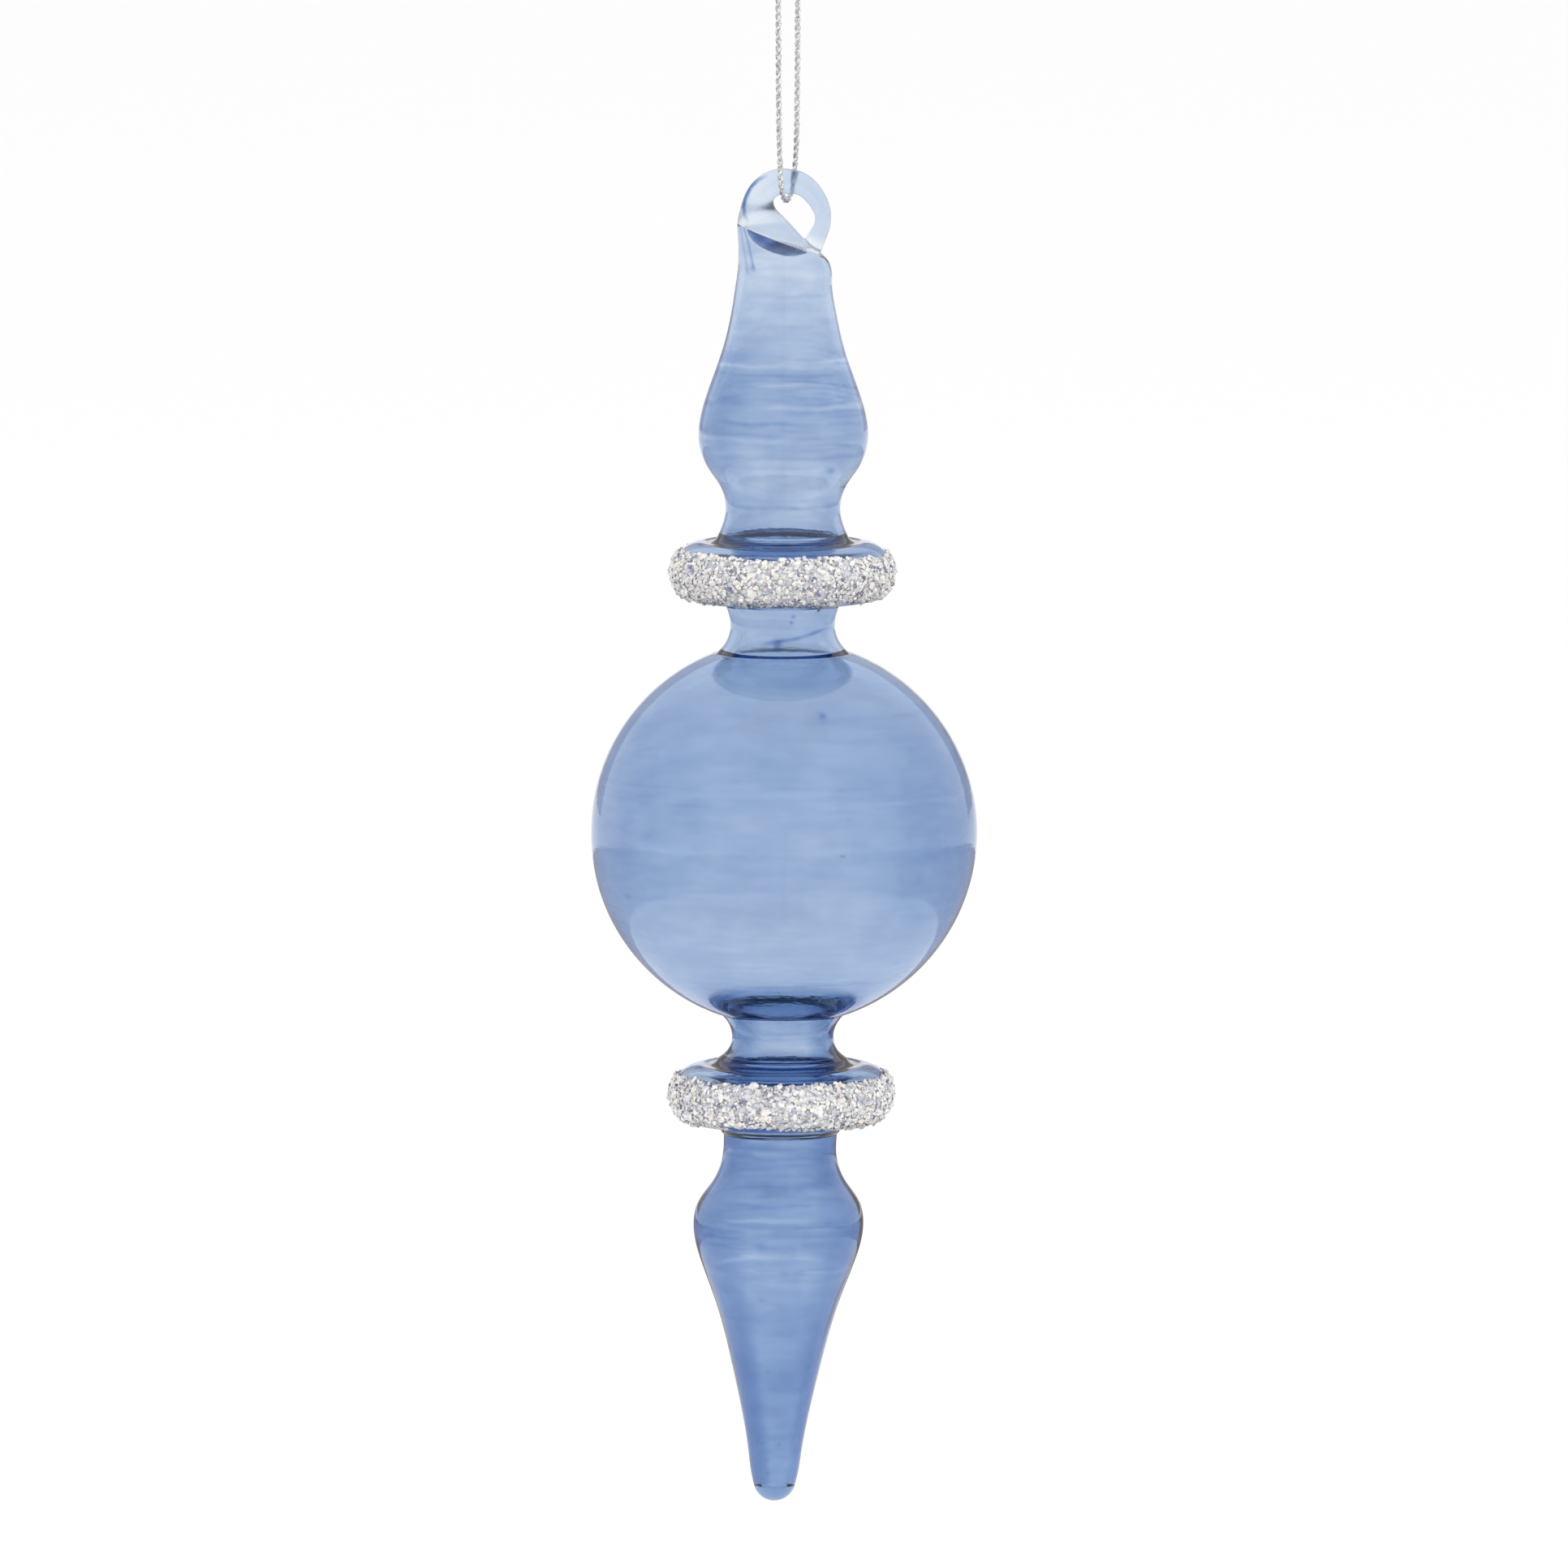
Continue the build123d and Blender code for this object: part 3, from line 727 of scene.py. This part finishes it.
outer = smooth_line([(8.5, 65.4), (7.8, 68.4), (8.5, 70.9), (9.9, 72.6)], 60)
inner = smooth_line([(7.4, 65.4), (6.7, 68.4), (7.3, 70.9), (8.6, 72.6)], 40)
on_ornament(shell("upper_neck", outer, inner, neck_glass, neck_tint_and_shade), "upper_neck")
outer = smooth_line([(9.4, 126.7), (8.1, 128.4), (7.6, 130.6), (8.3, 132.4), (9.7, 133.6)], 60)
inner = smooth_line([(8.1, 126.7), (7.0, 128.4), (6.5, 130.6), (7.2, 132.4), (8.5, 133.6)], 40)
on_ornament(shell("lower_neck", outer, inner, neck_glass, neck_tint_and_shade), "lower_neck")

icicle_glass = blue_glass("blue_glass_icicle_drop", 300.0)
BEAD_R, BEAD_SEAM, GLASS_LENGTH = 3.1, 198.2, 200.6
drop_outline = [
    (8.5, 145.0), (8.6, 148.6), (9.95, 152.1), (12.1, 155.3), (12.75, 159.0), (11.6, 164.1),
    (9.1, 170.9), (6.75, 179.5), (5.2, 186.4), (4.0, 193.2), (3.55, 196.3), (BEAD_R, BEAD_SEAM),
]


def icicle_tint_and_shade(x, y, depth):
    turn = np.arctan2(y, x)
    levels = [145, 150, 156, 160, 166, 172, 182, 192, 199]
    soak = np.interp(depth, levels, [0.66, 1.10, 0.84, 0.80, 0.74, 0.86, 1.14, 1.06, 0.88])
    # Painted shade: darker towards the left and right edges as seen from the front
    radii, depths = zip(*drop_outline)
    side = np.abs(x - GLASS_X / MM + 0.5) / np.interp(depth, depths, radii)
    soak = soak + 0.52 * np.clip((side - 0.45) / 0.35, 0, 1)
    soak = soak + random_streaks(turn, depth, 146, 166, 60, 0.34, 71)
    soak = soak + random_streaks(turn, depth, 160, 198, 70, 0.13, 72)
    for left, right, at, half, strength in (
        (-5.6, 6.0, 147.9, 0.3, 0.22), (-8.0, 6.0, 152.0, 0.6, 0.30), (-9.0, 5.5, 154.6, 0.25, 0.26),
        (-10.0, 9.5, 157.4, 0.3, 0.24), (-12.0, -2.0, 160.4, 0.3, 0.22), (-1.0, 8.0, 160.4, 0.5, 0.16),
        (-1.2, 2.8, 164.6, 0.4, 0.40), (-12.5, -9.5, 164.0, 0.6, 0.22), (-2.0, 5.0, 170.0, 0.4, 0.12),
        (-6.0, 2.0, 150.0, 0.8, -0.14), (-7.0, -2.5, 158.4, 0.8, -0.10), (-3.5, 8.0, 166.2, 0.8, -0.10),
    ):
        soak = soak + 2.2 * stroke(x, y, depth, left, right, at, half, strength)
    soak = soak + spot(x, y, depth, -3.9, 160.6, 0.7, 0.7)
    for at_x, at, size in (
        (-3.0, 180.4, 0.2), (-4.0, 169.0, 0.18), (-9.3, 168.0, 0.2), (-1.4, 191.5, 0.2), (-3.0, 196.0, 0.25),
    ):
        soak = soak + spot(x, y, depth, at_x, at, size, 0.9)
    return soak


outer = smooth_line(drop_outline, 190)
inner = smooth_line([(7.3, 145.0)] + [(r - WALL, d) for r, d in drop_outline[1:]], 90)
on_ornament(shell("icicle_drop", outer, inner, icicle_glass, icicle_tint_and_shade, 224), "icicle_drop")

# ---------------------------------------------------------------- solid glass: the tip and the eye

solid_glass = blue_glass("solid_glass_eye", 20.0, mottle=0.10, haze_from=0.14, haze_to=0.38, ior=1.27)
tip_glass = blue_glass("solid_glass_tip", 260.0)
ball = (BEAD_R**2 + (GLASS_LENGTH - BEAD_SEAM) ** 2) / (2 * (GLASS_LENGTH - BEAD_SEAM))
cap = arc((0, GLASS_LENGTH - ball), ball, -degrees(np.arccos(BEAD_R / ball)), -89.9, 40)
face = np.stack([np.linspace(0.02, BEAD_R - 0.05, 8), np.full(8, BEAD_SEAM)], axis=1)
bead = shell("tip_bead", cap, face[::-1], tip_glass, lambda x, y, d: 0 * x + 0.3, 96)
on_ornament(bead, "tip_bead")

# Sections of the eye: centre from the cord's axis, depth, half widths in the X-Z plane and along Y,
# and heading in degrees from straight up towards +X
CLOSURE = [(*row, 0) for row in [(-0.6, 18.0, 7.2, 7.2), (-0.6, 16.0, 6.95, 6.95)] + CLOSED_TOP]
RISE = [
    (-4.4, 4.9, 2.3, 2.3, 10), (-3.3, 2.95, 1.98, 1.98, 48), (-0.45, 1.9, 1.9, 1.9, 90),
    (1.55, 2.15, 1.75, 1.75, 106),
]
CURL = [
    (-0.45, 1.9, 1.9, 1.9, 90), (1.55, 2.15, 1.75, 1.75, 106), (3.95, 4.1, 1.5, 1.5, 137),
    (5.1, 6.4, 1.27, 1.3, 164), (5.2, 8.0, 1.22, 1.3, 182), (4.45, 10.0, 1.35, 1.5, 208),
    (3.6, 11.7, 1.5, 1.8, 208), (2.9, 13.0, 1.5, 1.8, 208),
]


def rod(sections, steps, sides=72):
    """Closed rod through sections: its points in the frame and its faces."""
    table = np.array(sections, float)
    table[:, 4] /= 12
    line = smooth_line(table, steps)
    line[:, 4] *= 12
    turns = np.linspace(0, 2 * pi, sides, endpoint=False)
    points = []
    for x, depth, half, half_y, heading in line:
        away, heading = half * np.cos(turns), radians(heading)
        ring = [x + away * cos(heading), half_y * np.sin(turns), depth + away * sin(heading)]
        points.append(np.stack(ring, axis=1))
    faces = [
        (i * sides + k, i * sides + (k + 1) % sides, (i + 1) * sides + (k + 1) % sides, (i + 1) * sides + k)
        for i in range(steps - 1)
        for k in range(sides)
    ]
    faces += [tuple(range(sides))[::-1], tuple(range((steps - 1) * sides, steps * sides))]
    points = np.concatenate(points)
    return np.stack([points[:, 0] * MM, points[:, 1] * MM, EYE_TOP - points[:, 2] * MM], axis=1), faces


def apply_modifier(made, kind, **settings):
    modifier = made.modifiers.new(kind, kind)
    for key, value in settings.items():
        setattr(modifier, key, value)
    bpy.context.view_layer.objects.active = made
    with bpy.context.temp_override(object=made, active_object=made, selected_objects=[made]):
        bpy.ops.object.modifier_apply(modifier=modifier.name)


def outwards(made):
    bm = bmesh.new()
    bm.from_mesh(made.data)
    bmesh.ops.recalc_face_normals(bm, faces=bm.faces)
    bm.to_mesh(made.data)
    bm.free()


eye = as_one("hanger_ring", [rod(CLOSURE + RISE, 110), rod(CURL, 90)], solid_glass)
outwards(eye)
voxel = 0.00013
apply_modifier(eye, "REMESH", mode="VOXEL", voxel_size=voxel, use_smooth_shade=True)
apply_modifier(eye, "SMOOTH", factor=0.5, iterations=10)

# What lies under the slanting seam is cut away, but for a plug that bulges down into the tube
PLUG_LENGTH, PLUG_WIDTH, PLUG_SAG = 5.1, 4.0, 2.4
turns = np.linspace(0, 2 * pi, 96, endpoint=False)
shares = np.concatenate([np.sin(np.linspace(0.05, pi / 2, 26)), [1.2, 1.6, 2.6]])
sags = [PLUG_SAG * sqrt(max(1 - s * s, 0)) for s in shares]
points = [
    on_slant(PLUG_LENGTH * s * np.cos(turns), PLUG_WIDTH * s * np.sin(turns), GAP / 2 + 0 * turns - drop)
    for s, drop in zip(shares, sags)
]
reach, CUT_DEPTH = shares[-1], 12.0
points.append(
    on_slant(reach * PLUG_LENGTH * np.cos(turns), reach * PLUG_WIDTH * np.sin(turns), 0 * turns - CUT_DEPTH)
)
count = len(turns)
faces = [
    (i * count + k, (i + 1) * count + k, (i + 1) * count + (k + 1) % count, i * count + (k + 1) % count)
    for i in range(len(points) - 1)
    for k in range(count)
]
faces += [tuple(range(count)), tuple(range((len(points) - 1) * count, len(points) * count))[::-1]]
cutter = add_mesh("cutter", np.concatenate(points), faces, solid_glass)
outwards(cutter)
apply_modifier(eye, "BOOLEAN", operation="DIFFERENCE", object=cutter, solver="EXACT")
bpy.data.objects.remove(cutter)
eye.data.shade_smooth()
eye.data.set_sharp_from_angle(angle=radians(40))
where = np.array([v.co for v in eye.data.vertices]) / MM
x, y, depth = where[:, 0], where[:, 1], depth_of(where[:, 2] * MM)
sag = depth - seam_at(x)
under = np.clip(sag / cos(SLANT) / 0.12, 0, 1)
soak = 0.30 + 0.20 * np.clip((x + 4.0) / 3.0, 0, 1)
# Painted shade: a dark line along a fold on the left of the eye
fold_shade = [(-3.16, 0.9), (-4.53, 1.65), (-5.59, 2.72), (-6.35, 4.25), (-6.65, 5.6), (-6.5, 6.84), (-6.04, 7.6)]
fold_shade = even(fold_shade, 60)
away = np.min(np.hypot(x[:, None] - fold_shade[:, 0], depth[:, None] - fold_shade[:, 1]), axis=1)
soak += 4.0 * np.exp(-((away / 0.26) ** 2)) * np.clip((depth - 0.8) / 1.5, 0, 1)
# Painted light: the tint is thinned near the seam, where the eye looks lighter through its lens
soak *= np.clip((-sag - 1.0) / 2.0, 0.1, 1)
# Painted shade: the plug's underside on the front is painted near-opaque dark for the dark crescent under the seam
plug_shade = 4.4 + 1.4 * np.sin(1.9 * x) * np.sin(2.3 * depth) + 4.0 * np.clip((sag - 1.8) / 0.4, 0, 1)
plug_shade = plug_shade * (where[:, 1] < -0.2)
soak = soak * (1 - under) + under * plug_shade
tint_colours(eye, soak)
on_ornament(eye, "hanger_ring")

# ---------------------------------------------------------------- glue and glitter


def band_edges(theta, seed):
    """Top and bottom angles of a coat round the rim, which wander as brushed glue does."""
    waves = np.random.default_rng(seed)
    top, bottom = 40.0 * np.ones_like(theta), -55.0 * np.ones_like(theta)
    for lobes in (1, 2, 3, 5, 9, 14):
        top += waves.uniform(1.0, 3.5) / lobes**0.4 * np.sin(lobes * theta + waves.uniform(0, 2 * pi))
        bottom += waves.uniform(1.0, 4.0) / lobes**0.4 * np.sin(lobes * theta + waves.uniform(0, 2 * pi))
    return top, bottom


def rim_point(rim_depth, r, angle, theta):
    radius = 12.0 + r * np.cos(np.radians(angle))
    depth = rim_depth - r * np.sin(np.radians(angle))
    return radius * np.cos(theta), radius * np.sin(theta), depth


glue_mat, nt, shader = material("clear_glue")
place = node(nt, "ShaderNodeTexCoord").outputs["Object"]
lumps = node(nt, "ShaderNodeTexNoise", {"Vector": place, "Scale": 900.0, "Detail": 3.0}).outputs["Fac"]
milky = ramp(nt, lumps, [(0.3, (0.38, 0.42, 0.52)), (0.7, (0.80, 0.80, 0.81))])
nt.links.new(milky, shader.inputs["Base Color"])
shader.inputs["Roughness"].default_value = 0.35

glitter_mat, nt, shader = material("silver_glitter")
place = node(nt, "ShaderNodeTexCoord").outputs["Object"]
shade = node(nt, "ShaderNodeAttribute", attribute_name="grain").outputs["Color"]
fleck = node(nt, "ShaderNodeTexNoise", {"Vector": place, "Scale": 2600.0, "Detail": 2.0}).outputs["Fac"]
flecked = node(nt, "ShaderNodeMix", data_type="RGBA", blend_type="MULTIPLY")
flecked.inputs[0].default_value = 0.5
nt.links.new(shade, flecked.inputs[6])
nt.links.new(ramp(nt, fleck, [(0.3, (0.72, 0.72, 0.76)), (0.6, (1, 1, 1))]), flecked.inputs[7])
nt.links.new(flecked.outputs[2], shader.inputs["Base Color"])
shader.inputs["Metallic"].default_value = 0.45
shader.inputs["Roughness"].default_value = 0.26

GRAIN = np.array(
    [(0, 0, 1), (0, 0, -1)]
    + [(cos(a) * 0.894, sin(a) * 0.894, 0.447) for a in np.arange(5) * 2 * pi / 5]
    + [(cos(a) * 0.894, sin(a) * 0.894, -0.447) for a in (np.arange(5) + 0.5) * 2 * pi / 5]
)
GRAIN_FACES = [(0, 2 + k, 2 + (k + 1) % 5) for k in range(5)]
GRAIN_FACES += [(1, 7 + (k + 1) % 5, 7 + k) for k in range(5)]
GRAIN_FACES += [(2 + k, 7 + k, 2 + (k + 1) % 5) for k in range(5)]
GRAIN_FACES += [(7 + k, 7 + (k + 1) % 5, 2 + (k + 1) % 5) for k in range(5)]


# Colours of the grains, and how common each is; the grey and dark violet kinds are partly the grains' own colours
# and partly painted shade for the shadowed gaps between them
KINDS = np.array(
    [(0.96, 0.95, 0.93), (0.80, 0.79, 0.79), (0.60, 0.59, 0.62), (0.94, 0.89, 0.81), (0.28, 0.30, 0.44)]
)
KIND_SHARES = [0.40, 0.24, 0.14, 0.16, 0.06]


def coat(which, rim_depth, seed):
    """One rim's glue and its glitter."""
    count = 4600
    dice = np.random.default_rng(seed)
    steps = 180
    theta = np.linspace(0, 2 * pi, steps, endpoint=False)
    top, bottom = band_edges(theta, seed)
    rows = []
    for r, shares in ((4.505, np.linspace(1, 0, 24)), (4.6, np.linspace(0, 1, 24))):
        for share in shares:
            angle = bottom + share * (top - bottom)
            rows.append(in_frame(*hand_made(*rim_point(rim_depth, r, angle, theta))))
    glue = add_mesh(f"{which}_glue_band", np.concatenate(rows), closed_grid(len(rows), steps), glue_mat)
    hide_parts(f"{which}_glue_band")
    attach(glue, "ornament")

    at = dice.uniform(0, 2 * pi, count)
    top, bottom = band_edges(at, seed)
    angle = bottom + dice.uniform(0, 1, count) * (top - bottom)
    size = dice.lognormal(np.log(0.37), 0.34, count).clip(0.16, 0.78)
    lift = 4.6 + dice.uniform(0.0, 0.32, count)
    x, y, depth = hand_made(*rim_point(rim_depth, lift, angle, at))
    centres = in_frame(x, y, depth)
    shape = GRAIN[None] * dice.uniform(0.6, 1.15, (count, 12, 1))
    widths = [size, size * dice.uniform(0.6, 1, count), size * dice.uniform(0.3, 0.6, count)]
    shape = shape * np.stack(widths, axis=1)[:, None]
    up = np.radians(angle)
    facing = np.stack([np.cos(up) * np.cos(at), np.cos(up) * np.sin(at), np.sin(up)], axis=1)
    facing += dice.normal(0, 0.33, (count, 3))
    facing /= np.linalg.norm(facing, axis=1)[:, None]
    side = np.cross(facing, dice.normal(size=(count, 3)))
    side /= np.linalg.norm(side, axis=1)[:, None]
    frames = np.stack([side, np.cross(facing, side), facing], axis=1)
    points = (np.einsum("nij,njk->nik", shape, frames) * MM + centres[:, None]).reshape(-1, 3)
    faces = (np.array(GRAIN_FACES)[None] + 12 * np.arange(count)[:, None, None]).reshape(-1, 3)
    made = add_mesh(f"{which}_glitter_band", points, faces.tolist(), glitter_mat)
    made.data.shade_flat()
    picked = KINDS[dice.choice(5, count, p=KIND_SHARES)] * dice.uniform(0.85, 1.0, (count, 1))
    # Painted shade: grains low on the underside of the rim are darker
    picked = picked * np.interp(angle, [-55, -38], [0.55, 1.0])[:, None]
    colours = np.concatenate([np.repeat(picked, 12, axis=0), np.ones((12 * count, 1))], axis=1)
    layer = made.data.color_attributes.new("grain", "FLOAT_COLOR", "POINT")
    layer.data.foreach_set("color", colours.ravel())
    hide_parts(f"{which}_glitter_band")
    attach(made, "ornament")


coat("upper", 60.3, 21)
coat("lower", 138.9, 22)
